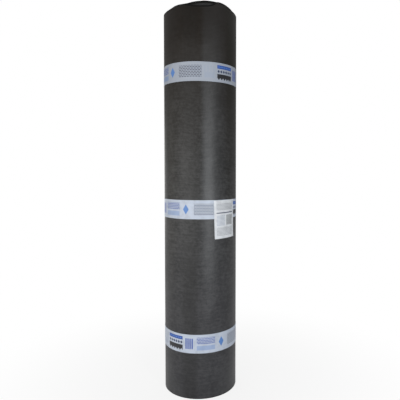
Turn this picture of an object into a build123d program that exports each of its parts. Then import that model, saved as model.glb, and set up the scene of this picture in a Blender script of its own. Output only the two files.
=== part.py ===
"""Roll of bitumen roofing felt standing on its end, held by three tapes and marked with a sticker.

Millimetres, +Z up. The origin is on the bore axis at the level of the floor, and -Y is the front.
"""

import os
from math import acos, atan, cos, degrees, pi, radians, sin, sqrt

from build123d import *

os.makedirs("parts", exist_ok=True)

# The sheet, and the bore that it is wound round
sheet_length = 8000.0
sheet_width = 1000.0
sheet_thickness = 3.5
bore_radius = 20.0

# How the turns lie at the ends: the inner ones stand proud of the outermost, and none is quite level
core_rise = 5.0
rising_turns = 2
turn_stagger = 0.8
stagger_turns = 3
outer_edge_dip = 6.0
outer_edge_dip_angle = 255.0

# The free edges of the sheet, as angles seen from above
tail_angle = 100.0
tail_run_in = 70.0
start_angle = 250.0
start_run_out = 60.0
edge_seal = 0.2
run_in_overshoot = 0.05

# The tapes, with their heights to the middle of the tape
tape_width = 49.0
tape_thickness = 0.4
tape_clearance = 0.1
tape_lap_angle = 42.0
tape_lap_length = 60.0
bottom_tape_height = 143.0
top_tape_inset = 168.5
middle_tape_drop = 1.0

# The sticker, whose upper part lies on the middle tape
sticker_width = 70.0
sticker_height = 100.0
sticker_thickness = 0.3
sticker_clearance = 0.2
sticker_angle = -48.5
sticker_top_inset = 0.5
sticker_slope = 6.0

# A sheet this long and thick fills the section between the bore and the outside
roll_radius = sqrt(bore_radius**2 + sheet_length * sheet_thickness / pi)
turns = round((roll_radius - bore_radius) / sheet_thickness)
pitch = (roll_radius - bore_radius) / turns
edge_step = sheet_thickness - edge_seal
tail_end = tail_angle + tail_run_in
start_end = start_angle - start_run_out
roll_height = sheet_width + core_rise + turn_stagger * stagger_turns


def polar(radius: float, angle: float) -> Vector:
    """A point in plan, at a radius from the bore axis and an angle in degrees."""
    return Vector(radius * cos(radians(angle)), radius * sin(radians(angle)))


def turn_rise(from_outside: int) -> float:
    """How far a turn stands above the outermost one, which is number 0."""
    climb = core_rise * min(1.0, from_outside / rising_turns)
    return climb + turn_stagger * (from_outside % stagger_turns)


def end_outline(level: float) -> list[tuple[float, float]]:
    """Radius and height along one end, with a flat cut edge for each turn, from the outside in."""
    points = []
    for turn in range(turns):
        outer = roll_radius - turn * pitch
        height = level + turn_rise(turn)
        points += [(outer, height), (outer - pitch, height)]
    return points


def taped_outline(outward: float) -> Sketch:
    """The area inside a tape pulled tight round the roll, at a distance outside its surface.

    It bridges the hollow beside the free edge in a straight line, up to where it meets the run-in.
    """
    radius = roll_radius + outward
    with BuildSketch() as outline:
        with BuildLine():
            round_roll = CenterArc((0, 0), radius, tail_end, 360.0 - tail_run_in)
            run_in = TangentArc(
                round_roll @ 0,
                polar(radius - edge_step, tail_angle),
                tangent=-(round_roll % 0),
                mode=Mode.PRIVATE,
            )
            to_free_edge = round_roll @ 1 - run_in.arc_center
            meeting_angle = degrees(acos(run_in.radius / to_free_edge.length))
            to_meeting = to_free_edge.normalized().rotate(Axis.Z, meeting_angle) * run_in.radius
            bridge = Line(round_roll @ 1, run_in.arc_center + to_meeting)
            TangentArc(bridge @ 1, round_roll @ 0, tangent=bridge % 1)
        make_face()
    return outline.sketch


# Outside, the sheet ends in a step, and the turn below comes up to full size over its run-in
with BuildSketch() as tail_hollow:
    clear_of_roll = roll_radius + edge_step
    with BuildLine():
        TangentArc(
            polar(roll_radius + run_in_overshoot, tail_end),
            polar(roll_radius - edge_step, tail_angle),
            tangent=polar(1.0, tail_end - 90.0),
        )
        Line(polar(roll_radius - edge_step, tail_angle), polar(clear_of_roll, tail_angle))
        ThreePointArc(
            polar(clear_of_roll, tail_angle),
            polar(clear_of_roll, tail_angle + tail_run_in / 2),
            polar(clear_of_roll, tail_end),
        )
        Line(polar(clear_of_roll, tail_end), polar(roll_radius + run_in_overshoot, tail_end))
    make_face()

# In the bore, the sheet starts with the same step, facing the other way
with BuildSketch() as start_hollow:
    inside_bore = bore_radius - edge_step
    with BuildLine():
        TangentArc(
            polar(bore_radius - run_in_overshoot, start_end),
            polar(bore_radius + edge_step, start_angle),
            tangent=polar(1.0, start_end + 90.0),
        )
        Line(polar(bore_radius + edge_step, start_angle), polar(inside_bore, start_angle))
        ThreePointArc(
            polar(inside_bore, start_angle),
            polar(inside_bore, start_angle - start_run_out / 2),
            polar(inside_bore, start_end),
        )
        Line(polar(inside_bore, start_end), polar(bore_radius - run_in_overshoot, start_end))
    make_face()

with BuildPart() as felt_roll:
    with BuildSketch(Plane.XZ) as wound_section:
        with BuildLine():
            Polyline(*end_outline(0.0), *reversed(end_outline(sheet_width)), close=True)
        make_face()
    revolve(axis=Axis.Z)
    extrude(tail_hollow.sketch, amount=roll_height, mode=Mode.SUBTRACT)
    extrude(start_hollow.sketch, amount=roll_height, mode=Mode.SUBTRACT)

    # The top edge of the outermost turn isn't cut square: it dips to one side
    dip_slope = degrees(atan(outer_edge_dip / (2 * roll_radius)))
    dip_plane = Plane(
        origin=polar(roll_radius, outer_edge_dip_angle) + (0, 0, sheet_width - outer_edge_dip),
        x_dir=polar(1.0, outer_edge_dip_angle + 90.0),
        z_dir=Vector(0, 0, 1).rotate(Axis((0, 0, 0), polar(1.0, outer_edge_dip_angle + 90.0)), dip_slope),
    )
    with BuildSketch(Plane.XY.offset(sheet_width - 2 * outer_edge_dip), mode=Mode.PRIVATE) as outer_turn:
        Circle(roll_radius + edge_step)
        Circle(roll_radius - pitch, mode=Mode.SUBTRACT)
    above_outer_turn = extrude(outer_turn.sketch, amount=4 * outer_edge_dip, mode=Mode.PRIVATE)
    split(above_outer_turn, bisect_by=dip_plane, keep=Keep.TOP, mode=Mode.SUBTRACT)

felt_roll.part.label = "felt_roll"
export_step(felt_roll.part, "parts/felt_roll.step")

tape_inner = roll_radius + tape_clearance
tape_outer = tape_inner + tape_thickness
tape_lap_arc = degrees(tape_lap_length / tape_outer)
top_tape_height = sheet_width - top_tape_inset
middle_tape_height = (bottom_tape_height + top_tape_height) / 2 - middle_tape_drop
tape_heights = {
    "band_bottom": bottom_tape_height,
    "band_middle": middle_tape_height,
    "band_top": top_tape_height,
}

for band_name, band_height in tape_heights.items():
    with BuildPart() as band:
        with BuildSketch(Plane.XY.offset(band_height - tape_width / 2)) as loop:
            # Where the ends of the tape lap, it is two layers thick
            with BuildLine():
                lap = CenterArc(
                    (0, 0), tape_outer + tape_thickness, tape_lap_angle - tape_lap_arc / 2, tape_lap_arc
                )
                Polyline(lap @ 1, (0, 0), lap @ 0)
            make_face()
            add(taped_outline(tape_clearance + tape_thickness))
            add(taped_outline(tape_clearance), mode=Mode.SUBTRACT)
        extrude(amount=tape_width)
    band.part.label = band_name
    export_step(band.part, f"parts/{band_name}.step")

# The sticker lies on the middle tape and steps down onto the felt below it
sticker_top = middle_tape_height + tape_width / 2 - sticker_top_inset
sticker_bottom = sticker_top - sticker_height
tape_bottom = middle_tape_height - tape_width / 2
on_felt = roll_radius + sticker_clearance
on_tape = tape_outer + sticker_clearance
sticker_sweep = degrees(sticker_width / on_tape)

with BuildPart() as label:
    with BuildSketch(Plane.XZ.rotated((0, 0, sticker_angle - sticker_sweep / 2))) as sticker_section:
        with BuildLine():
            Polyline(
                (on_felt, sticker_bottom),
                (on_felt + sticker_thickness, sticker_bottom),
                (on_felt + sticker_thickness, tape_bottom - sticker_slope),
                (on_tape + sticker_thickness, tape_bottom),
                (on_tape + sticker_thickness, sticker_top),
                (on_tape, sticker_top),
                (on_tape, tape_bottom),
                (on_felt, tape_bottom - sticker_slope),
                close=True,
            )
        make_face()
    revolve(axis=Axis.Z, revolution_arc=sticker_sweep)

label.part.label = "label"
export_step(label.part, "parts/label.step")

print(f"outside diameter {2 * roll_radius:.1f}, turns {turns}, pitch {pitch:.3f}")
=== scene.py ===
"""Roll of bitumen roofing felt on its end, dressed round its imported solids.

Metres, +Z up. The bore axis is the Z axis, the floor is z = 0 and -Y is the front. An azimuth is an
angle seen from above, counted from the front (-Y) towards +X, in degrees.
"""

import logging
import math
from collections.abc import Callable, Sequence
from dataclasses import dataclass
from enum import Enum
from typing import Any

import bmesh
import bpy
from mathutils import Matrix, Vector, geometry

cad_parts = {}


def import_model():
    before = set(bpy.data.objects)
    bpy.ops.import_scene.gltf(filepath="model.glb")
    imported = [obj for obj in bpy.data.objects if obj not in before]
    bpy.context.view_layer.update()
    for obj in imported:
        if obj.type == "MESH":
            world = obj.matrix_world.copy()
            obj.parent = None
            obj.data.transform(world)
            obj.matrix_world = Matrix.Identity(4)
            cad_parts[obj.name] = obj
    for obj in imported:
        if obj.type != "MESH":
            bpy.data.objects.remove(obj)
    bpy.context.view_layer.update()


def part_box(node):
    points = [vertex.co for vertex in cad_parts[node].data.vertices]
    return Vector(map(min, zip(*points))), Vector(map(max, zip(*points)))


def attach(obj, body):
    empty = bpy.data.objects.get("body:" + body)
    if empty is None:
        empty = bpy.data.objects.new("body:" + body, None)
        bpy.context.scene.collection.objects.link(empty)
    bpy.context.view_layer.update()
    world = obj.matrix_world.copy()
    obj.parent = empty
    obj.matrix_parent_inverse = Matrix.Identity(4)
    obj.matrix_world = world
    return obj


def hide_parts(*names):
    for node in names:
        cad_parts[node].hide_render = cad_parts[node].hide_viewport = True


log = logging.getLogger("felt roll")
MM = 0.001
TURN = 360.0
FRONT = 270.0
BACK = 90.0
Colour = tuple[float, float, float]
Point = tuple[float, float, float]
Table = tuple[tuple[float, float], ...]


def smooth(value: float) -> float:
    """Eases 0..1 in and out, and holds it outside that range."""
    held = min(1.0, max(0.0, value))
    return held * held * (3.0 - 2.0 * held)


class Link:
    """A socket of a node tree that Python's operators work on."""

    def __init__(self, graph: "Graph", socket: bpy.types.NodeSocket) -> None:
        """Keeps the socket with the graph that it belongs to."""
        self.graph = graph
        self.socket = socket

    def __add__(self, other: "Feed") -> "Link":
        """self + other"""
        return self.graph.math("ADD", self, other)

    __radd__ = __add__

    def __mul__(self, other: "Feed") -> "Link":
        """self * other"""
        return self.graph.math("MULTIPLY", self, other)

    __rmul__ = __mul__

    def __sub__(self, other: "Feed") -> "Link":
        """self - other"""
        return self.graph.math("SUBTRACT", self, other)

    def __rsub__(self, other: "Feed") -> "Link":
        """other - self"""
        return self.graph.math("SUBTRACT", other, self)

    def __truediv__(self, other: "Feed") -> "Link":
        """self / other"""
        return self.graph.math("DIVIDE", self, other)

    def __rtruediv__(self, other: "Feed") -> "Link":
        """other / self"""
        return self.graph.math("DIVIDE", other, self)

    def __mod__(self, other: "Feed") -> "Link":
        """self % other, never negative"""
        return self.graph.math("FLOORED_MODULO", self, other)

    def __lt__(self, other: "Feed") -> "Link":
        """1 where self < other, or else 0"""
        return self.graph.math("LESS_THAN", self, other)

    def __gt__(self, other: "Feed") -> "Link":
        """1 where self > other, or else 0"""
        return self.graph.math("GREATER_THAN", self, other)

    def __abs__(self) -> "Link":
        """The size of self without its sign"""
        return self.graph.math("ABSOLUTE", self)


Feed = Link | float | int | str | bool | Sequence[float]


class Graph:
    """Builds a shader or geometry tree from expressions."""

    def __init__(self, tree: bpy.types.NodeTree) -> None:
        """Keeps the tree that the nodes go into."""
        self.tree = tree

    def add(
        self,
        kind: str,
        settings: dict[str, Any] | None = None,
        values: dict[str | int, Feed] | None = None,
    ) -> bpy.types.Node:
        """Adds one node.

        Args:
            kind: Blender's type name of the node.
            settings: Its properties; "points" fills a float curve.
            values: What its inputs get, by name or number: a number, a vector or a link.

        Returns:
            The node.
        """
        node = self.tree.nodes.new(kind)
        for name, value in (settings or {}).items():
            if name == "points":
                self._fill_curve(node.mapping, value)
            else:
                setattr(node, name, value)
        for key, value in (values or {}).items():
            socket = self._find(node.inputs, key)
            if isinstance(value, Link):
                self.tree.links.new(value.socket, socket)
            else:
                socket.default_value = value
        return node

    def node(
        self,
        kind: str,
        settings: dict[str, Any] | None = None,
        values: dict[str | int, Feed] | None = None,
        output: str | int = 0,
    ) -> Link:
        """Adds one node, as add does, and gives the output that is wanted."""
        return Link(self, self._find(self.add(kind, settings, values).outputs, output))

    @staticmethod
    def _find(sockets: Any, key: str | int) -> bpy.types.NodeSocket:
        """Finds a socket by its number, or by its name among those in use."""
        named = (socket for socket in sockets if socket.name == key and socket.enabled)
        return sockets[key] if isinstance(key, int) else next(named)

    @staticmethod
    def _fill_curve(mapping: bpy.types.CurveMapping, points: Sequence[tuple[float, float]]) -> None:
        """Sets a float curve's points.

        Args:
            mapping: The curve node's mapping.
            points: The points from 0 to 1 each way, with the curve's ends among them.
        """
        curve = mapping.curves[0]
        while len(curve.points) < len(points):
            curve.points.new(0.5, 0.5)
        for point, place in zip(curve.points, points):
            point.location = place
        mapping.update()

    def math(self, operation: str, *feeds: Feed) -> Link:
        """Adds a Math node with that operation on the feeds."""
        return self.node("ShaderNodeMath", {"operation": operation}, dict(enumerate(feeds)))

    def lowest(self, first: Feed, second: Feed) -> Link:
        """The lower of two feeds."""
        return self.math("MINIMUM", first, second)

    def highest(self, first: Feed, second: Feed) -> Link:
        """The higher of two feeds."""
        return self.math("MAXIMUM", first, second)

    def step(
        self,
        value: Feed,
        low: float,
        high: float,
        start: float = 0.0,
        end: float = 1.0,
        soft: bool = True,
    ) -> Link:
        """Goes from start to end as the value goes from low to high, eased if it is soft."""
        limits = {"From Min": low, "From Max": high, "To Min": start, "To Max": end}
        easing = {"interpolation_type": "SMOOTHSTEP" if soft else "LINEAR"}
        return self.node("ShaderNodeMapRange", easing, {"Value": value, **limits})

    def vector(self, x: Feed, y: Feed, z: Feed = 0.0) -> Link:
        """Joins three numbers to a vector."""
        return self.node("ShaderNodeCombineXYZ", values={"X": x, "Y": y, "Z": z})

    def parts(self, vector: Link) -> tuple[Link, Link, Link]:
        """Splits a vector into its three numbers."""
        first = self.node("ShaderNodeSeparateXYZ", values={"Vector": vector})
        return tuple(Link(self, socket) for socket in first.socket.node.outputs)

    def mix(self, factor: Feed, first: Feed, second: Feed) -> Link:
        """Goes from the first colour to the second as the factor goes from 0 to 1."""
        return self.node(
            "ShaderNodeMix",
            {"data_type": "RGBA"},
            {"Factor": factor, "A": rgba(first), "B": rgba(second)},
            output="Result",
        )

    def noise(self, vector: Feed, scale: float, detail: float = 2.0, rough: float = 0.5) -> Link:
        """Smooth noise from 0 to 1."""
        return self.node(
            "ShaderNodeTexNoise",
            values={"Vector": vector, "Scale": scale, "Detail": detail, "Roughness": rough},
        )


def rgba(colour: Feed) -> Feed:
    """Gives a colour of three numbers its fourth, and leaves anything else as it is."""
    return (*colour, 1.0) if isinstance(colour, tuple) and len(colour) == 3 else colour


def new_material(name: str) -> tuple[bpy.types.Material, Graph]:
    """Starts a node material.

    Args:
        name: The finish's own name.

    Returns:
        The material and the graph of its empty tree.
    """
    material = bpy.data.materials.new(name)
    material.use_nodes = True
    material.node_tree.nodes.clear()
    return material, Graph(material.node_tree)


def surface(graph: Graph, values: dict[str, Feed]) -> None:
    """Ends a material in a Principled shader with those inputs."""
    shader = graph.node("ShaderNodeBsdfPrincipled", values=values)
    graph.add("ShaderNodeOutputMaterial", values={"Surface": shader})


def bump(graph: Graph, strength: float, depth: float, height: Link) -> Link:
    """A bumped normal: its strength, its depth in metres and its height from 0 to 1."""
    values = {"Strength": strength, "Distance": depth, "Height": height}
    return graph.node("ShaderNodeBump", values=values)


@dataclass(frozen=True)
class Ramp:
    """A number that eases from start to end while another goes from low to high."""

    low: float
    high: float
    start: float = 0.0
    end: float = 1.0

    def value(self, graph: Graph, place: Link) -> Link:
        """The number at a place."""
        return graph.step(place, self.low, self.high, self.start, self.end)


@dataclass(frozen=True)
class Stretch:
    """A lighter or darker stretch of the sheet, in metres.

    It fades in and out along the sheet, and its ramps across the sheet are multiplied.
    """

    rise: tuple[float, float]
    fall: tuple[float, float]
    strength: float
    ramps: tuple[Ramp, ...] = ()

    def mask(self, graph: Graph, along: Link, across: Link) -> Link:
        """Where the stretch is.

        Args:
            graph: The material's graph.
            along: Metres along the sheet.
            across: Metres across it.

        Returns:
            1 on the stretch and 0 off it, before its strength.
        """
        mask = graph.step(along, *self.rise) * (1.0 - graph.step(along, *self.fall))
        for ramp in self.ramps:
            mask = mask * ramp.value(graph, across)
        return mask


@dataclass(frozen=True)
class Mottle:
    """Noise: its cells per unit of length each way, its detail, and what it adds to tone and relief."""

    along: float
    across: float
    detail: float
    rough: float
    tone: float = 0.0
    relief: float = 0.0

    def value(self, graph: Graph, along: Feed, across: Feed) -> Link:
        """The noise at a place, from 0 to 1."""
        place = graph.vector(along * self.along, across * self.across)
        return graph.noise(place, 1.0, self.detail, self.rough)


@dataclass(frozen=True)
class FeltFinish:
    """Sanded bitumen felt: charcoal, cloudy, with fine marks along the sheet and a matt grain, and with
    painted highlights and painted shade along the sheet.
    """

    name: str = "felt"
    dark: Colour = (0.0085, 0.0085, 0.0080)
    pale: Colour = (0.054, 0.054, 0.0545)
    edge: Colour = (0.0022, 0.0020, 0.0019)
    core: Colour = (0.060, 0.058, 0.056)
    # The colour of the painted highlights: the streak and the glint
    painted_sheen: Colour = (0.080, 0.083, 0.088)
    shadow: Colour = (0.0090, 0.0080, 0.0050)
    warm: Colour = (0.0110, 0.0075, 0.0048)
    foot: Colour = (0.051, 0.051, 0.061)
    clouds: Mottle = Mottle(16.0, 11.0, 4.0, 0.65, tone=0.64)
    specks: Mottle = Mottle(105.0, 115.0, 3.0, 0.75, tone=0.90, relief=0.5)
    lines: Mottle = Mottle(22.0, 200.0, 2.0, 0.6, tone=0.46, relief=0.35)
    grain: Mottle = Mottle(900.0, 900.0, 2.0, 0.6, tone=0.20, relief=0.5)
    tone_drop: float = 0.60
    contrast: Ramp = Ramp(0.25, 0.80)
    # The felt gets darker and browner towards the top
    warming: Ramp = Ramp(0.46, 1.0, 0.0, 0.88)
    cooling: Ramp = Ramp(0.12, 0.62, 0.34, 0.0)
    # The streak is a painted highlight, a sheen running up the front of the roll
    streak: Stretch = Stretch(
        (0.228, 0.278), (0.299, 0.315), 0.30, (Ramp(0.20, 0.48), Ramp(0.70, 1.0, 1.0, 0.45))
    )
    streak_clouds: tuple[float, float] = (0.55, 0.9)
    # The shade is painted shade: a dark band up the roll, stronger towards the foot
    shade: Stretch = Stretch((0.312, 0.328), (0.345, 0.368), 0.44, (Ramp(0.28, 0.50, 1.0, 0.45),))
    # The far stretch is painted shade on the roll's right side, darkest towards the top
    far: Stretch = Stretch((0.175, 0.205), (0.226, 0.248), 1.0, (Ramp(0.5, 0.95, 0.12, 0.82),))
    # The glint is a painted highlight on a stretch of the second turn, seen above the outer turn's top
    # edge
    glint: Stretch = Stretch((0.842, 0.866), (0.882, 0.910), 0.28)
    # From the second turn inwards the felt is darker: partly fresher felt, partly painted shade
    second_turn: Ramp = Ramp(0.50, 0.60)
    second_turn_shade: float = 0.55
    # The top edge is dark; on the inner turns the slide widens it downwards as painted shade
    second_turn_slide: float = 0.0024
    top_edge: Ramp = Ramp(0.9960, 0.9978)
    bottom_edge: Ramp = Ramp(0.0004, 0.0016, 1.0, 0.0)
    cut_face: Ramp = Ramp(0.55, 0.85)
    sway: float = 0.010
    sway_noise: tuple[float, float, float] = (7.0, 3.0, 0.6)
    rough: float = 0.40
    speck_rough: float = 0.15
    streak_gloss: float = 0.05
    bump_strength: float = 0.35
    bump_depth: float = 0.0006
    specular: float = 0.3

    def material(self) -> bpy.types.Material:
        """Builds the material on the sheet's own coordinates, in metres along and across it.

        Returns:
            The material.
        """
        material, graph = new_material(self.name)
        place = graph.node("ShaderNodeAttribute", {"attribute_name": "sheet"}, output="Vector")
        along, across, cut = graph.parts(place)
        clouds, specks, lines, grain = (
            mottle.value(graph, along, across)
            for mottle in (self.clouds, self.specks, self.lines, self.grain)
        )
        tone = clouds * self.clouds.tone + specks * self.specks.tone + lines * self.lines.tone
        tone = tone + grain * self.grain.tone - self.tone_drop
        relief = grain * self.grain.relief + lines * self.lines.relief + specks * self.specks.relief
        swaying = along + (graph.noise(across, *self.sway_noise) - 0.5) * self.sway
        # The streak: a painted highlight, broken up by the clouds
        least, more = self.streak_clouds
        streak = self.streak.mask(graph, swaying, across) * (least + more * clouds)
        inner = self.second_turn.value(graph, along)
        # A dark line along both long edges; on the inner turns the top one is widened as painted shade
        border = graph.highest(
            self.top_edge.value(graph, across + self.second_turn_slide * inner),
            self.bottom_edge.value(graph, across),
        )
        # Each coat lies over the ones before it, as much as its mask says
        coats = (
            (self.contrast.value(graph, tone), self.pale),
            (self.warming.value(graph, across), self.warm),
            (self.cooling.value(graph, across), self.foot),
            # Painted highlight: the streak
            (streak * self.streak.strength, self.painted_sheen),
            # Painted shade: a dark band up the roll
            (self.shade.mask(graph, swaying, across) * self.shade.strength, self.dark),
            # Painted shade on the roll's right side
            (self.far.mask(graph, swaying, across) * self.far.strength, self.shadow),
            # Partly fresher felt, partly painted shade: the turns from the second inwards
            (inner * self.second_turn_shade, self.dark),
            # Painted highlight: the glint
            (self.glint.mask(graph, along, across) * self.glint.strength, self.painted_sheen),
            (border, self.edge),
            (self.cut_face.value(graph, cut), self.core),
        )
        colour = self.dark
        for mask, coat in coats:
            colour = graph.mix(mask, colour, coat)
        rough = self.rough + self.speck_rough * specks - self.streak_gloss * streak
        surface(
            graph,
            {
                "Base Color": colour,
                "Roughness": graph.highest(rough, border),
                "Normal": bump(graph, self.bump_strength, self.bump_depth, relief),
                "Specular IOR Level": self.specular,
            },
        )
        return material


class Shape(Enum):
    """The plain figures that a print is made of."""

    BLOCK = "block"
    SAWTEETH = "sawteeth"
    BARS = "bars"
    DIAMONDS = "diamonds"
    BRICKS = "bricks"
    COMB = "comb"


@dataclass(frozen=True)
class Mark:
    """One figure of a print: its middle, its half sizes in millimetres and its ink.

    Each of the last six methods draws one shape inside the mark's rectangle, at a place counted from
    its middle.
    """

    shape: Shape
    x: float
    y: float
    wide: float
    high: float
    ink: Colour
    pace: float = 3.0
    strength: float = 1.0
    soft: float = 0.15

    def mask(self, graph: Graph, along: Link, up: Link) -> Link:
        """1 on the figure and 0 off it, at a place along the print and up it, in millimetres."""
        dx, dy = along - self.x, up - self.y
        return self._figure(graph, dx, dy, self._box(graph, dx, dy)) * self.strength

    @property
    def _figure(self) -> Callable[[Graph, Link, Link, Link], Link]:
        """The method that draws the mark's shape."""
        return getattr(self, f"_{self.shape.value}")

    def _box(self, graph: Graph, dx: Link, dy: Link) -> Link:
        """A soft-edged rectangle of the mark's size."""
        gap = graph.lowest(self.wide - abs(dx), self.high - abs(dy))
        return graph.step(gap, -self.soft, self.soft, soft=False)

    def _into(self, dx: Link) -> Link:
        """How far a place lies into its repeat of the figure."""
        return (dx + self.wide) % self.pace

    def _off_middle(self, dx: Link) -> Link:
        """How far a place lies from the middle of its repeat."""
        return abs(self._into(dx) - self.pace / 2)

    def _block(self, graph: Graph, dx: Link, dy: Link, inside: Link) -> Link:
        """A plain rectangle."""
        return inside

    def _sawteeth(self, graph: Graph, dx: Link, dy: Link, inside: Link) -> Link:
        """A band whose lower half is cut to teeth."""
        reach = dy + self.high * (1.0 - 0.7 * (self._off_middle(dx) / (self.pace / 2)))
        return inside * graph.step(reach, -self.soft, self.soft, soft=False)

    def _bars(self, graph: Graph, dx: Link, dy: Link, inside: Link) -> Link:
        """Upright bars."""
        return inside * (self._into(dx) < self.pace * 0.6)

    def _diamonds(self, graph: Graph, dx: Link, dy: Link, inside: Link) -> Link:
        """A row of diamonds, one every pace."""
        reach = 1.0 - self._off_middle(dx) / (self.pace * 0.44) - abs(dy) / self.high
        return inside * graph.step(reach, -0.04, 0.04, soft=False)

    def _bricks(self, graph: Graph, dx: Link, dy: Link, inside: Link) -> Link:
        """Rows of even dashes, each row shifted by half a dash.

        Args:
            graph: The material's graph.
            dx: Millimetres along the print from the mark's middle.
            dy: Millimetres up it from there.
            inside: The mask of the mark's rectangle.

        Returns:
            The mask of the dashes.
        """
        row = graph.math("FLOOR", (dy + self.high) / self.pace)
        middle = abs((dy + self.high) % self.pace - self.pace / 2)
        line = graph.step(middle, 0.34 * self.pace, 0.24 * self.pace, soft=False)
        dash = (dx + row * (self.pace * 0.9)) % (self.pace * 1.8)
        return inside * line * (dash < self.pace * 1.35)

    def _comb(self, graph: Graph, dx: Link, dy: Link, inside: Link) -> Link:
        """A ruler of upright ticks, every third one long."""
        tall = self.high * (0.9 + 1.1 * ((dx + self.wide) % (3.0 * self.pace) < self.pace))
        return inside * (self._into(dx) < self.pace * 0.3) * (dy + self.high < tall)


@dataclass(frozen=True)
class PrintedFinish:
    """A coated strip or sticker with plain generic figures printed on it."""

    name: str
    ground: Colour
    marks: tuple[Mark, ...]
    period: float
    rough: float = 0.42
    grime: Colour = (0.200, 0.215, 0.245)
    clouds: Mottle = Mottle(0.06, 0.06, 3.0, 0.6)
    film: Mottle = Mottle(0.25, 0.5, 2.0, 0.5)
    wear: Ramp = Ramp(0.40, 0.75, 0.0, 0.30)
    high_wear: Ramp = Ramp(0.55, 0.82, 0.0, 0.50)
    film_rough: float = 0.12
    bump_strength: float = 0.25
    bump_depth: float = 0.0004

    def material(self) -> bpy.types.Material:
        """Builds the material on the piece's own map, in millimetres.

        Returns:
            The material.
        """
        material, graph = new_material(self.name)
        flat = graph.node("ShaderNodeUVMap", {"uv_map": "print"})
        place, up, _ = graph.parts(flat)
        along = place % self.period
        height = graph.parts(graph.node("ShaderNodeTexCoord", output="Object"))[2]
        worn = graph.highest(
            self.wear.value(graph, self.clouds.value(graph, place, up)),
            self.high_wear.value(graph, height),
        )
        colour = graph.mix(worn, self.ground, self.grime)
        for mark in self.marks:
            colour = graph.mix(mark.mask(graph, along, up), colour, mark.ink)
        film = self.film.value(graph, place, up)
        surface(
            graph,
            {
                "Base Color": colour,
                "Roughness": self.rough + self.film_rough * film,
                "Normal": bump(graph, self.bump_strength, self.bump_depth, film),
            },
        )
        return material


@dataclass(frozen=True)
class SheetForm:
    """The rule of the wound sheet, in millimetres and degrees: it repeats the source's named values."""

    length: float = 8000.0
    width: float = 1000.0
    wound_thickness: float = 3.5
    bore: float = 20.0
    turns: int = 22
    tail: float = 100.0
    tail_run_in: float = 70.0
    start: float = 250.0
    start_run_out: float = 60.0

    @property
    def radius(self) -> float:
        """Outside radius of the roll."""
        return math.sqrt(self.bore**2 + self.length * self.wound_thickness / math.pi)

    @property
    def pitch(self) -> float:
        """How much the radius falls from one turn to the next."""
        return (self.radius - self.bore) / self.turns

    @property
    def wound(self) -> float:
        """Turns from the outer free edge to the inner one."""
        return self.turns - (self.start - self.tail) / TURN

    def outer_depth(self, back: float) -> float:
        """How far the outer face lies below the roll's radius, some turns back from the tail."""
        ramp = max(0.0, (back % 1.0 - 1.0) * TURN / self.tail_run_in + 1.0) ** 2
        return self.pitch * (math.floor(back) + ramp)


@dataclass(frozen=True)
class Section:
    """A place on the sheet's section, in the links of the sheet's tree."""

    across: Link
    level: Link
    rounding: Link
    cut: Link


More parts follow.
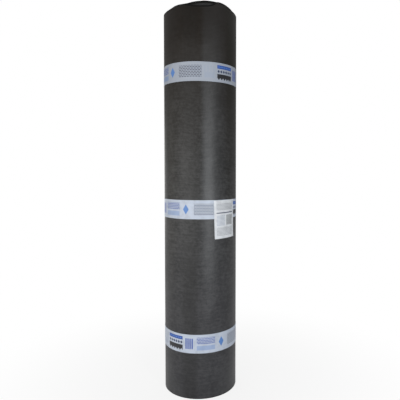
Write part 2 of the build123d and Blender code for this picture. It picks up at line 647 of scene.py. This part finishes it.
@dataclass
class FeltRoll:
    """The wound sheet, made by one rule in Geometry Nodes: each turn lies on the one before."""

    form: SheetForm
    finish: FeltFinish
    thickness: float = 3.3
    column_step: float = 4.7
    rows: int = 14
    edge_rows: float = 2.0
    corner: float = 0.7
    settling: float = 0.3
    second_slide: float = 3.3
    third_slide: float = 2.4
    drift: float = 2.2
    highest_edge: float = 6.5
    curve_span: float = 20.0
    weld: float = 2e-6
    seed: float = 4.0
    next_seed: float = 7.0
    second: Ramp = Ramp(1.0, 1.12)
    third: Ramp = Ramp(2.0, 2.15)
    loosening: Ramp = Ramp(2.0, 3.0)
    calming: Ramp = Ramp(2.5, 6.0)
    waving: Mottle = Mottle(0.011, 1.0, 3.0, 0.55)
    drifting: Mottle = Mottle(1.1, 1.0, 1.0, 0.5)
    wave: float = 0.5
    inner_wave: float = 1.0
    flat_foot: Ramp = Ramp(0.08, 0.35)
    flat_head: Ramp = Ramp(0.86, 1.0, 1.0, 0.65)
    dent_foot: Ramp = Ramp(0.93, 0.965)
    dent_head: Ramp = Ramp(0.985, 1.0, 1.0, 0.0)
    name: str = "felt_sheet"
    # The tables hold degrees of azimuth and millimetres: the turns' top edges, the flats, the dent
    outer_edge: Table = (
        (-180, -2.2), (-130, -3.2), (-90, -5.7), (-63, -6.6), (-48, -5.0), (-40, -2.6), (-28, -2.0),
        (-21, -3.6), (-14, -6.0), (-4, -7.8), (6, -7.0), (15, -4.4), (23, 1.6), (29, 6.0), (37, 5.2),
        (46, 2.2), (60, -2.8), (76, -4.0), (110, -1.2), (180, -2.2),
    )
    second_edge: Table = (
        (-180, 1.6), (-100, -2.4), (-63, -4.2), (-47, -2.2), (-37, -0.2), (-25, -0.4), (-14, 2.0),
        (0, 4.6), (12, 6.4), (22, 6.4), (33, 6.4), (46, 4.8), (56, 2.4), (68, -0.8), (90, -1.9),
        (130, 2.1), (180, 1.6),
    )
    inner_edges: Table = (
        (-180, 5.7), (-110, 2.2), (-60, -1.3), (-42, 0.2), (-28, 0.4), (-14, 3.2), (0, 5.9),
        (12, 6.4), (28, 6.4), (44, 6.4), (60, 3.8), (80, 2.0), (130, 4.7), (180, 5.7),
    )
    flats: Table = (
        (-180, 0.0), (-60, 0.0), (-45, 0.25), (-28, 0.1), (-14, 0.5), (-5, 0.3), (3, 0.0),
        (12, 0.25), (23, 0.0), (32, 0.35), (48, 0.0), (180, 0.0),
    )
    top_dent: Table = (
        (-180, 0.0), (-24, 0.0), (-16, 0.55), (-12, 0.5), (-6, 0.0), (180, 0.0),
    )

    @property
    def _middle(self) -> float:
        """Radius of the sheet's middle at its outer free edge."""
        return self.form.radius - self.thickness / 2

    @property
    def _fall(self) -> float:
        """How much that radius falls in a turn, on average."""
        return self.form.pitch * (self.form.turns - 1) / self.form.wound

    @property
    def _length(self) -> float:
        """Length of the sheet's middle, from its outer free edge to its inner one."""
        wound = self.form.wound
        return 2.0 * math.pi * (self._middle * wound - self._fall * wound**2 / 2.0)

    def _round_curve(self, graph: Graph, turn: Link, table: Table) -> Link:
        """A number that changes round the roll.

        Args:
            graph: The geometry tree's graph.
            turn: The azimuth as a part of a whole turn, 0 at the back and 0.5 at the front.
            table: Azimuths in degrees with the number at each, up to half the span either way.

        Returns:
            The number, read from a smooth curve.
        """
        span = self.curve_span
        points = [((azimuth + TURN / 2) / TURN, value / span + 0.5) for azimuth, value in table]
        curve = graph.node("ShaderNodeFloatCurve", {"points": points}, {"Value": turn})
        return span * curve - span / 2

    def _winding(self, graph: Graph, along: Link, size: dict[str, Link]) -> tuple[Link, Link]:
        """The spiral.

        Args:
            graph: The geometry tree's graph.
            along: Millimetres along the sheet from its outer free edge.
            size: The tree's named inputs.

        Returns:
            Turns back from the outer free edge, and the depth of the outer face below the roll's radius.
        """
        form = self.form
        root = graph.math("SQRT", self._middle**2 - along * (self._fall / math.pi))
        back = graph.lowest((self._middle - root) / self._fall, form.wound)
        whole = graph.math("FLOOR", back)
        run_in = graph.highest((back - whole - 1.0) * (TURN / form.tail_run_in) + 1.0, 0.0)
        by_tail = whole + run_in * run_in
        shifted = back + (form.start - form.tail) / TURN
        step = graph.math("FLOOR", shifted)
        left = graph.highest(1.0 - (shifted - step) * (TURN / form.start_run_out), 0.0)
        by_start = step - left * left
        share = graph.step(back, 0.0, form.wound)
        depth = by_tail + (by_start - by_tail) * share
        return back, depth * size["Pitch"]

    def _section(self, graph: Graph, around: Link, is_end: Link, thickness: Link) -> Section:
        """The sheet's section: up its outer face, over its top edge and down its inner face.

        Args:
            graph: The geometry tree's graph.
            around: The row, counted round the section.
            is_end: 1 on the two columns that close the sheet's free edges.
            thickness: The sheet's thickness.

        Returns:
            Millimetres from the sheet's middle, the level from 0 at the bottom to 1 at the top, the
            rounding of the edges in millimetres, and how far the place is on a cut face.
        """
        up = float(self.rows) - abs(self.rows - around)
        from_edge = graph.lowest(graph.lowest(up, self.rows - up) / self.edge_rows, 1.0)
        bend = from_edge * (math.pi / 2.0)
        side = graph.math("SIGN", self.rows - around)
        end_side = graph.math("SIGN", up - self.rows / 2.0)
        return Section(
            across=side * graph.math("SINE", bend) * thickness * 0.5 * (1.0 - is_end),
            level=graph.step(up, self.edge_rows, self.rows - self.edge_rows, soft=False),
            rounding=self.corner * end_side * graph.math("COSINE", bend),
            cut=graph.highest(1.0 - from_edge, is_end),
        )

    def _inward(self, graph: Graph, turn: Link, back: Link, level: Link) -> Link:
        """How far flats and the dent by the top edge press the turns in, less on each turn.

        Args:
            graph: The geometry tree's graph.
            turn: The azimuth as a part of a whole turn.
            back: Turns back from the outer free edge.
            level: 0 at the bottom of the sheet and 1 at its top.

        Returns:
            Millimetres towards the bore.
        """
        hold = self.flat_foot.value(graph, level) * self.flat_head.value(graph, level)
        flat = self._round_curve(graph, turn, self.flats) * hold
        near_top = self.dent_foot.value(graph, level) * self.dent_head.value(graph, level)
        dent = self._round_curve(graph, turn, self.top_dent) * near_top
        return (flat + dent) * graph.math("EXPONENT", back * -self.settling)

    def _edges(
        self, graph: Graph, turn: Link, back: Link, along: Link, seed: Link
    ) -> tuple[Link, Link]:
        """How high the sheet's two long edges lie: both slide with their turn, and the top one wanders.

        Args:
            graph: The geometry tree's graph.
            turn: The azimuth as a part of a whole turn.
            back: Turns back from the outer free edge.
            along: Millimetres along the sheet.
            seed: What sets the wandering apart.

        Returns:
            Millimetres of the bottom edge over the floor, and of the top edge over the sheet's width.
        """
        wave = self.waving.value(graph, along, seed)
        drift = self.drifting.value(graph, back, seed + self.next_seed)
        second = self.second.value(graph, back)
        third = self.third.value(graph, back)
        slid = self.second_slide * second + self.third_slide * third
        slid = slid + (drift - 0.5) * self.drift * self.loosening.value(graph, back)
        outer, middle, inner = (
            self._round_curve(graph, turn, table)
            for table in (self.outer_edge, self.second_edge, self.inner_edges)
        )
        top = outer + (middle - outer) * second
        top = top + (inner - top) * third
        top = top + (slid - top) * self.calming.value(graph, back)
        top = top + (wave - 0.5) * (self.wave + self.inner_wave * third)
        return slid, graph.lowest(top, self.highest_edge)

    def _inputs(self, graph: Graph) -> tuple[dict[str, float], dict[str, Link]]:
        """Gives the geometry tree its named inputs.

        Args:
            graph: The geometry tree's graph.

        Returns:
            The value of each input and its link.
        """
        form = self.form
        values = {
            "Radius": form.radius,
            "Pitch": form.pitch,
            "Width": form.width,
            "Thickness": self.thickness,
            "Tail": form.tail,
            "Seed": self.seed,
        }
        for name in values:
            graph.tree.interface.new_socket(name, in_out="INPUT", socket_type="NodeSocketFloat")
        outputs = graph.tree.nodes.new("NodeGroupInput").outputs
        return values, {name: Link(graph, outputs[name]) for name in values}

    def _grid(self, graph: Graph) -> tuple[Link, Link, Link, Link]:
        """The flat grid that is wound up: its columns lie along the sheet, its rows round its section.

        Args:
            graph: The geometry tree's graph.

        Returns:
            The grid, millimetres along the sheet, the row, and 1 on the columns at the free edges.
        """
        columns = round(self._length / self.column_step) + 3
        loop = 2 * self.rows
        grid = graph.node(
            "GeometryNodeMeshGrid",
            values={"Size X": 1.0, "Size Y": 1.0, "Vertices X": columns, "Vertices Y": loop + 1},
            output="Mesh",
        )
        x, y, _ = graph.parts(graph.node("GeometryNodeInputPosition"))
        column = graph.math("ROUND", (x + 0.5) * float(columns - 1))
        along = graph.step(column, 1.0, float(columns - 2), soft=False) * self._length
        row = graph.math("ROUND", (y + 0.5) * float(loop))
        is_end = graph.highest(column < 0.5, column > columns - 1.5)
        return grid, along, row, is_end

    def _finished(
        self, graph: Graph, grid: Link, place: Link, sheet: Link, material: bpy.types.Material
    ) -> Link:
        """Winds the grid up, closes it and dresses it.

        Args:
            graph: The geometry tree's graph.
            grid: The flat grid.
            place: Where each of its points goes, in metres.
            sheet: What the material reads: metres along and across the flat sheet, and the cut face.
            material: What the sheet is dressed in.

        Returns:
            The finished sheet.
        """
        # The first node comes before the points move, because it reads where they are in the flat grid.
        # The faces have to be flipped, because the grid is wound so that they look into the sheet.
        chain = (
            (
                "StoreNamedAttribute",
                {"data_type": "FLOAT_VECTOR", "domain": "POINT"},
                {"Name": "sheet", "Value": sheet},
            ),
            ("SetPosition", {}, {"Position": place}),
            ("MergeByDistance", {}, {"Distance": self.weld}),
            ("FlipFaces", {}, {}),
            ("SetShadeSmooth", {}, {"Shade Smooth": True}),
            ("RealizeInstances", {}, {}),
            ("SetMaterial", {}, {"Material": material}),
        )
        wound = grid
        for kind, settings, values in chain:
            wound = graph.node(f"GeometryNode{kind}", settings, {0: wound, **values})
        return wound

    def _tree(self, material: bpy.types.Material) -> tuple[bpy.types.NodeTree, dict[str, float]]:
        """Builds the Geometry Nodes tree.

        Args:
            material: What the sheet is dressed in.

        Returns:
            The tree and the values of its named inputs.
        """
        tree = bpy.data.node_groups.new("wound sheet", "GeometryNodeTree")
        graph = Graph(tree)
        tree.interface.new_socket("Geometry", in_out="OUTPUT", socket_type="NodeSocketGeometry")
        values, size = self._inputs(graph)
        grid, along, row, is_end = self._grid(graph)
        section = self._section(graph, row, is_end, size["Thickness"])
        back, depth = self._winding(graph, along, size)
        angle = size["Tail"] - back * TURN
        turn = ((angle - BACK) % TURN) / TURN
        inward = self._inward(graph, turn, back, section.level)
        reach = size["Radius"] - size["Thickness"] * 0.5 - depth - inward + section.across
        slid, top = self._edges(graph, turn, back, along, size["Seed"])
        tall = size["Width"] - 2.0 * self.corner + top - slid
        height = slid + self.corner + section.level * tall + section.rounding
        turned = angle * (math.pi / 180.0)
        place = graph.vector(
            reach * MM * graph.math("COSINE", turned),
            reach * MM * graph.math("SINE", turned),
            height * MM,
        )
        across = section.level * size["Width"] + section.rounding
        sheet = graph.vector(along * MM, across * MM, section.cut)
        finished = self._finished(graph, grid, place, sheet, material)
        tree.links.new(finished.socket, tree.nodes.new("NodeGroupOutput").inputs[0])
        return tree, values

    def build(self) -> None:
        """Makes the sheet, as one plain mesh."""
        tree, values = self._tree(self.finish.material())
        source = bpy.data.objects.new("winder", bpy.data.meshes.new("winder"))
        bpy.context.scene.collection.objects.link(source)
        modifier = source.modifiers.new("wind", "NODES")
        modifier.node_group = tree
        for item in tree.interface.items_tree:
            if item.item_type == "SOCKET" and item.in_out == "INPUT":
                modifier[item.identifier] = values[item.name]
        graph = bpy.context.evaluated_depsgraph_get()
        mesh = bpy.data.meshes.new_from_object(source.evaluated_get(graph))
        bpy.data.objects.remove(source)
        piece = place_mesh(self.name, mesh)
        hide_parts("felt_roll")


def place_mesh(name: str, mesh: bpy.types.Mesh) -> bpy.types.Object:
    """Shows a mesh as a piece that rides on the part's one body.

    Args:
        name: The piece's name.
        mesh: Its mesh, already in place.

    Returns:
        The new object, at the origin.
    """
    mesh.name = name
    piece = bpy.data.objects.new(name, mesh)
    bpy.context.scene.collection.objects.link(piece)
    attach(piece, "root")
    mesh.calc_loop_triangles()
    log.info("%s: %d triangles", name, len(mesh.loop_triangles))
    return piece


@dataclass(frozen=True)
class Skin:
    """A thin closed strip or sheet: a grid of places with a thickness."""

    columns: int
    rows: int
    thickness: float
    place: Callable[[float, float], Point]
    flat: Callable[[float, float], tuple[float, float]]
    sharp_angle: float = 50.0

    def mesh(self, name: str, material: bpy.types.Material) -> bpy.types.Mesh:
        """Builds the closed mesh with its print map.

        Args:
            name: The mesh's name.
            material: What it is dressed in.

        Returns:
            The mesh, in metres.
        """
        form = bmesh.new()
        uv = form.loops.layers.uv.new("print")
        faces: list[dict[tuple[int, int], bmesh.types.BMVert]] = []
        for layer in (0.0, 1.0):
            points = {}
            for i in range(self.columns + 1):
                for j in range(self.rows + 1):
                    azimuth, radius, height = self.place(i / self.columns, j / self.rows)
                    reach = (radius + layer * self.thickness) * MM
                    turned = math.radians(azimuth + FRONT)
                    point = (reach * math.cos(turned), reach * math.sin(turned), height * MM)
                    points[i, j] = form.verts.new(point)
            faces.append(points)
        inner, outer = faces
        for i in range(self.columns):
            for j in range(self.rows):
                ring = [(i, j), (i + 1, j), (i + 1, j + 1), (i, j + 1)]
                self._face(form, uv, [outer[key] for key in ring], ring)
                self._face(form, uv, [inner[key] for key in reversed(ring)], ring[::-1])
        rim = [(i, 0) for i in range(self.columns)]
        rim += [(self.columns, j) for j in range(self.rows)]
        rim += [(i, self.rows) for i in range(self.columns, 0, -1)]
        rim += [(0, j) for j in range(self.rows, 0, -1)]
        for first, second in zip(rim, rim[1:] + rim[:1]):
            corners = [inner[first], inner[second], outer[second], outer[first]]
            self._face(form, uv, corners, [first, second, second, first])
        mesh = bpy.data.meshes.new(name)
        form.to_mesh(mesh)
        form.free()
        mesh.materials.append(material)
        mesh.shade_smooth()
        mesh.set_sharp_from_angle(angle=math.radians(self.sharp_angle))
        return mesh

    def _face(
        self,
        form: bmesh.types.BMesh,
        uv: Any,
        corners: list[bmesh.types.BMVert],
        keys: list[tuple[int, int]],
    ) -> None:
        """Adds one face and its place on the print map.

        Args:
            form: The mesh in the making.
            uv: Its print map.
            corners: The face's corners.
            keys: Each corner's column and row.
        """
        face = form.faces.new(corners)
        for loop, (i, j) in zip(face.loops, keys):
            loop[uv].uv = self.flat(i / self.columns, j / self.rows)


@dataclass
class Tape:
    """One printed tape, pulled tight round the roll, its ends lapped at the back right."""

    name: str
    node: str
    form: SheetForm
    finish: bpy.types.Material
    print_shift: float
    width: float = 49.0
    clearance: float = 0.1
    thickness: float = 0.38
    lap_angle: float = 42.0
    lap_length: float = 60.0
    lap_rise: float = 5.0
    lap_air: float = 0.02
    inset: float = 0.5
    long_waver: float = 0.35
    short_waver: float = 0.15
    edge_waver: float = 0.6
    columns: int = 240
    rows: int = 8
    outline_steps: int = 1440

    def _tight(self) -> list[Vector]:
        """The line of a tight tape round the roll.

        Returns:
            The corners of the convex outline of the roll's section, in millimetres.
        """
        points = []
        for step in range(self.outline_steps):
            back = step / self.outline_steps
            angle = math.radians(self.form.tail - TURN * back)
            radius = self.form.radius - self.form.outer_depth(back)
            points.append(Vector((radius * math.cos(angle), radius * math.sin(angle))))
        return [points[k] for k in geometry.convex_hull_2d(points)]

    def _radius(self, hull: list[Vector], polar: float) -> float:
        """Radius of the tape's line.

        Args:
            hull: The line's corners.
            polar: Degrees seen from above, from +X towards +Y.

        Returns:
            The radius, in millimetres.
        """
        ray = Vector((math.cos(math.radians(polar)), math.sin(math.radians(polar))))
        best = 0.0
        for a, b in zip(hull, hull[1:] + hull[:1]):
            edge = b - a
            cross = ray.x * edge.y - ray.y * edge.x
            if abs(cross) < 1e-12:
                continue
            reach = (a.x * edge.y - a.y * edge.x) / cross
            share = (a.x * ray.y - a.y * ray.x) / cross
            if reach > 0 and -1e-6 <= share <= 1.0 + 1e-6:
                best = max(best, reach)
        return best

    def build(self) -> None:
        """Makes the tape."""
        low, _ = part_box(self.node)
        bottom = low[2] / MM
        hull = self._tight()
        outer = self.form.radius + self.clearance + self.thickness
        lap = math.degrees(self.lap_length / outer)
        first = self.lap_angle - lap / 2
        sweep = TURN + lap
        table = [self._radius(hull, first + sweep * i / self.columns) for i in range(self.columns + 1)]

        def place(u: float, v: float) -> Point:
            """Azimuth, radius and height of a place on the tape.

            Args:
                u: From 0 at the tape's first end to 1 at the end that lies over it.
                v: From 0 at its lower edge to 1 at its upper one.

            Returns:
                Degrees, millimetres and millimetres.
            """
            polar = first + sweep * u
            over = smooth((u * sweep - (TURN - self.lap_rise)) / self.lap_rise)
            over = over * (self.thickness + self.lap_air)
            wave = self.long_waver * math.sin(math.radians(polar * 2.0 + self.print_shift))
            wave += self.short_waver * math.sin(math.radians(polar * 7.0 + 2 * self.print_shift))
            radius = table[round(u * self.columns)] + self.clearance + over
            height = bottom + self.inset + wave * self.edge_waver + v * (self.width - 2 * self.inset)
            return polar - FRONT, radius, height

        def flat(u: float, v: float) -> tuple[float, float]:
            """Place on the print, in millimetres."""
            azimuth = first + sweep * u - FRONT
            return math.radians(azimuth) * outer + self.print_shift, v * self.width

        skin = Skin(self.columns, self.rows, self.thickness, place, flat)
        piece = place_mesh(self.name, skin.mesh(self.name, self.finish))
        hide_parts(self.node)


@dataclass
class Sticker:
    """The paper sticker, whose upper part lies on the middle tape and whose foot lies on the felt."""

    form: SheetForm
    finish: bpy.types.Material
    name: str = "paper_sticker"
    azimuth: float = 41.5
    width: float = 69.0
    height: float = 98.5
    tilt: float = 1.6
    thickness: float = 0.25
    felt_gap: float = 0.12
    tape_gap: float = 0.1
    tape_thickness: float = 0.38
    tape_bottom: float = 461.75
    slope: float = 5.0
    curl: float = 0.5
    curl_height: float = 0.14
    curl_width: float = 0.5
    columns: int = 40
    rows: int = 56

    def build(self) -> None:
        """Makes the sticker."""
        low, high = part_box("label")
        middle = (low[2] + high[2]) / 2 / MM
        on_felt = self.form.radius + self.felt_gap
        on_tape = self.form.radius + self.tape_gap + self.tape_thickness + self.tape_gap

        def place(u: float, v: float) -> Point:
            """Azimuth, radius and height of a place on the sticker, whose lower left corner curls off.

            Args:
                u: From 0 at the sticker's left edge to 1 at its right one.
                v: From 0 at its lower edge to 1 at its upper one.

            Returns:
                Degrees, millimetres and millimetres.
            """
            right = (u - 0.5) * self.width
            rise = (v - 0.5) * self.height
            lean = math.radians(self.tilt)
            x = right * math.cos(lean) - rise * math.sin(lean)
            z = right * math.sin(lean) + rise * math.cos(lean) + middle
            step = smooth((z - (self.tape_bottom - self.slope)) / self.slope)
            low_down = max(0.0, 1.0 - v / self.curl_height)
            lift = self.curl * low_down**2 * max(0.0, 1.0 - u / self.curl_width)
            radius = on_felt + (on_tape - on_felt) * step + lift
            return self.azimuth + math.degrees(x / on_tape), radius, z

        def flat(u: float, v: float) -> tuple[float, float]:
            """Place on the print, in millimetres."""
            return u * self.width, v * self.height

        skin = Skin(self.columns, self.rows, self.thickness, place, flat)
        piece = place_mesh(self.name, skin.mesh(self.name, self.finish))
        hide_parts("label")


NAVY: Colour = (0.020, 0.035, 0.090)
ROYAL: Colour = (0.022, 0.070, 0.330)
SKY: Colour = (0.085, 0.205, 0.500)
BLACK: Colour = (0.012, 0.012, 0.016)
GREY: Colour = (0.050, 0.060, 0.095)
PALE: Colour = (0.250, 0.310, 0.440)
WHITE: Colour = (0.475, 0.525, 0.620)
PAPER: Colour = (0.70, 0.72, 0.75)

TAPE_PERIOD = 274.0
TAPE_MARKS = (
    Mark(Shape.BRICKS, 33.0, 25.0, 30.0, 15.0, GREY, 4.0, 0.85),
    Mark(Shape.COMB, 84.0, 25.0, 13.0, 16.0, PALE, 2.6),
    Mark(Shape.SAWTEETH, 128.0, 13.0, 24.0, 7.5, BLACK, 8.8),
    Mark(Shape.DIAMONDS, 128.0, 27.0, 24.0, 4.0, NAVY, 8.0),
    Mark(Shape.BLOCK, 128.0, 38.5, 24.0, 4.4, ROYAL),
    Mark(Shape.DIAMONDS, 128.0, 38.5, 22.0, 2.2, SKY, 6.0),
    Mark(Shape.BARS, 171.0, 25.0, 11.0, 14.0, ROYAL, 5.5),
    Mark(Shape.BRICKS, 214.0, 33.0, 24.0, 9.0, ROYAL, 4.0),
    Mark(Shape.BLOCK, 214.0, 14.0, 24.0, 6.0, SKY, strength=0.45),
    Mark(Shape.DIAMONDS, 256.0, 25.0, 9.0, 13.0, SKY, 18.0),
)
# The sticker's print isn't repeated, because its period is wider than the sticker
STICKER_PERIOD = 200.0
STICKER_MARKS = (
    Mark(Shape.BRICKS, 34.5, 82.0, 28.0, 9.0, GREY, 3.4, 0.55),
    Mark(Shape.BLOCK, 34.5, 66.0, 28.0, 1.2, NAVY),
    Mark(Shape.BRICKS, 20.0, 47.0, 13.0, 14.0, PALE, 3.4, 0.6),
    Mark(Shape.BARS, 50.0, 47.0, 12.0, 13.0, BLACK, 4.0, 0.8),
    Mark(Shape.BRICKS, 34.5, 18.0, 28.0, 11.0, GREY, 3.4, 0.5),
)


@dataclass(frozen=True)
class Lamp:
    """A soft lamp that the camera doesn't see: its width and height in metres and its watts."""

    name: str
    place: Point
    target: Point
    size: tuple[float, float]
    power: float
    colour: Colour

    def hang(self) -> None:
        """Adds the lamp to the scene, pointed at its target."""
        data = bpy.data.lights.new(self.name, "AREA")
        data.shape = "RECTANGLE"
        data.size, data.size_y = self.size
        data.energy = self.power
        data.color = self.colour
        lamp = bpy.data.objects.new(self.name, data)
        lamp.location = self.place
        aim = Vector(self.target) - Vector(self.place)
        lamp.rotation_euler = aim.to_track_quat("-Z", "Y").to_euler()
        lamp.visible_camera = False
        bpy.context.scene.collection.objects.link(lamp)


LAMPS = (
    Lamp("strip right", (0.95, -1.95, 0.5), (0.0, 0.0, 0.5), (0.26, 0.5), 20.0, (0.95, 0.98, 1.0)),
    Lamp("wide left", (-1.45, -1.7, 0.5), (0.0, 0.0, 0.45), (2.4, 0.6), 26.0, (1.0, 0.99, 0.97)),
    Lamp("rim left", (-1.5, 0.2, 0.5), (0.0, 0.0, 0.45), (0.5, 0.9), 2.6, (1.0, 0.96, 0.84)),
    Lamp("top", (0.0, 0.5, 2.4), (0.0, 0.0, 1.0), (0.7, 0.7), 9.0, (1.0, 1.0, 1.0)),
    Lamp("back", (-0.9, 2.0, 0.5), (0.0, 0.0, 0.5), (1.4, 0.8), 5.0, (1.0, 0.99, 0.96)),
)


@dataclass
class Studio:
    """Floor, soft light, white surroundings and the camera, whose place was fitted to the photograph."""

    camera_place: Point = (0.0, -1.1943, 0.5819)
    yaw: float = 5.04
    pitch: float = 2.387
    lean: float = 0.133
    lens: float = 39.26
    sensor: float = 36.0
    shift: tuple[float, float] = (-0.0973, -0.025)
    floor_size: float = 14.0
    floor_thickness: float = 0.02
    floor_gap: float = 0.0002
    floor_colour: Colour = (0.8, 0.8, 0.8)
    white: Colour = (1.0, 1.0, 1.0)
    soft_grey: Colour = (0.20, 0.20, 0.20)
    world_in_gloss: float = 0.12
    floor_in_gloss: float = 0.6
    shadow_share: float = 0.14
    shadow_reach: tuple[float, float] = (0.12, 0.75)

    def build(self) -> None:
        """Makes everything that isn't the object."""
        bpy.context.scene.view_settings.view_transform = "Standard"
        self._world()
        self._floor()
        for lamp in LAMPS:
            lamp.hang()
        self._camera()

    def _world(self) -> None:
        """White to the camera, a little of it to reflections, and a soft grey light elsewhere."""
        world = bpy.data.worlds.new("studio")
        bpy.context.scene.world = world
        world.use_nodes = True
        world.node_tree.nodes.clear()
        graph = Graph(world.node_tree)
        seen = self._seen(graph, self.world_in_gloss)
        colour = graph.mix(seen, self.soft_grey, self.white)
        back = graph.node("ShaderNodeBackground", values={"Color": colour, "Strength": 1.0})
        graph.add("ShaderNodeOutputWorld", values={"Surface": back})

    @staticmethod
    def _seen(graph: Graph, in_gloss: float) -> Link:
        """Which rays see white: the camera's and glass's fully, and a reflection's in part.

        Args:
            graph: The material's or world's graph.
            in_gloss: How much of the white a reflection shows.

        Returns:
            The part of white that the ray sees.
        """
        path = graph.node("ShaderNodeLightPath")
        outputs = path.socket.node.outputs
        camera, glossy, glass = (
            Link(graph, outputs[f"Is {name} Ray"]) for name in ("Camera", "Glossy", "Transmission")
        )
        return graph.highest(graph.highest(camera, glass), glossy * in_gloss)

    def _floor(self) -> None:
        """A pale floor that the camera sees as white, with part of the object's shadow."""
        size = (self.floor_size, self.floor_size, self.floor_thickness, 1.0)
        down = -self.floor_thickness / 2 - self.floor_gap
        form = bmesh.new()
        bmesh.ops.create_cube(form, size=1.0, matrix=Matrix.Diagonal(size))
        bmesh.ops.translate(form, verts=form.verts, vec=(0.0, 0.0, down))
        mesh = bpy.data.meshes.new("floor")
        form.to_mesh(mesh)
        form.free()
        floor = bpy.data.objects.new("floor", mesh)
        bpy.context.scene.collection.objects.link(floor)
        material, graph = new_material("pale floor")
        diffuse = graph.node(
            "ShaderNodeBsdfPrincipled",
            values={
                "Base Color": rgba(self.floor_colour),
                "Roughness": 0.9,
                "Specular IOR Level": 0.1,
            },
        )
        white = graph.node("ShaderNodeEmission", values={"Color": rgba(self.white), "Strength": 1.0})
        x, y, _ = graph.parts(graph.node("ShaderNodeTexCoord", output="Object"))
        away = graph.step(graph.math("SQRT", x * x + y * y), *self.shadow_reach)
        lit = 1.0 - self.shadow_share + self.shadow_share * away
        white_share = self._seen(graph, self.floor_in_gloss) * lit
        both = graph.node("ShaderNodeMixShader", values={0: white_share, 1: diffuse, 2: white})
        graph.add("ShaderNodeOutputMaterial", values={"Surface": both})
        mesh.materials.append(material)

    def _camera(self) -> None:
        """Sets the camera up at the photograph's viewing angle."""
        data = bpy.data.cameras.new("camera")
        data.sensor_width = self.sensor
        data.lens = self.lens
        data.shift_x, data.shift_y = self.shift
        data.dof.use_dof = False
        camera = bpy.data.objects.new("camera", data)
        turn = Matrix.Rotation(math.radians(-self.yaw), 4, "Z")
        turn @= Matrix.Rotation(math.radians(90.0 - self.pitch), 4, "X")
        turn @= Matrix.Rotation(math.radians(self.lean), 4, "Z")
        camera.location = self.camera_place
        camera.rotation_euler = turn.to_euler()
        bpy.context.scene.collection.objects.link(camera)
        bpy.context.scene.camera = camera


def main() -> None:
    """Builds the studio and the object."""
    logging.basicConfig(level=logging.INFO, format="%(message)s")
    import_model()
    form = SheetForm()
    FeltRoll(form, FeltFinish()).build()
    tape = PrintedFinish("tape print", WHITE, TAPE_MARKS, TAPE_PERIOD).material()
    for name, node, shift in (
        ("tape_bottom", "band_bottom", 200.0),
        ("tape_middle", "band_middle", 20.0),
        ("tape_top", "band_top", 60.0),
    ):
        Tape(name, node, form, tape, shift).build()
    sticker = PrintedFinish("sticker print", PAPER, STICKER_MARKS, STICKER_PERIOD, 0.5).material()
    Sticker(form, sticker).build()
    Studio().build()


if __name__ == "__main__":
    main()
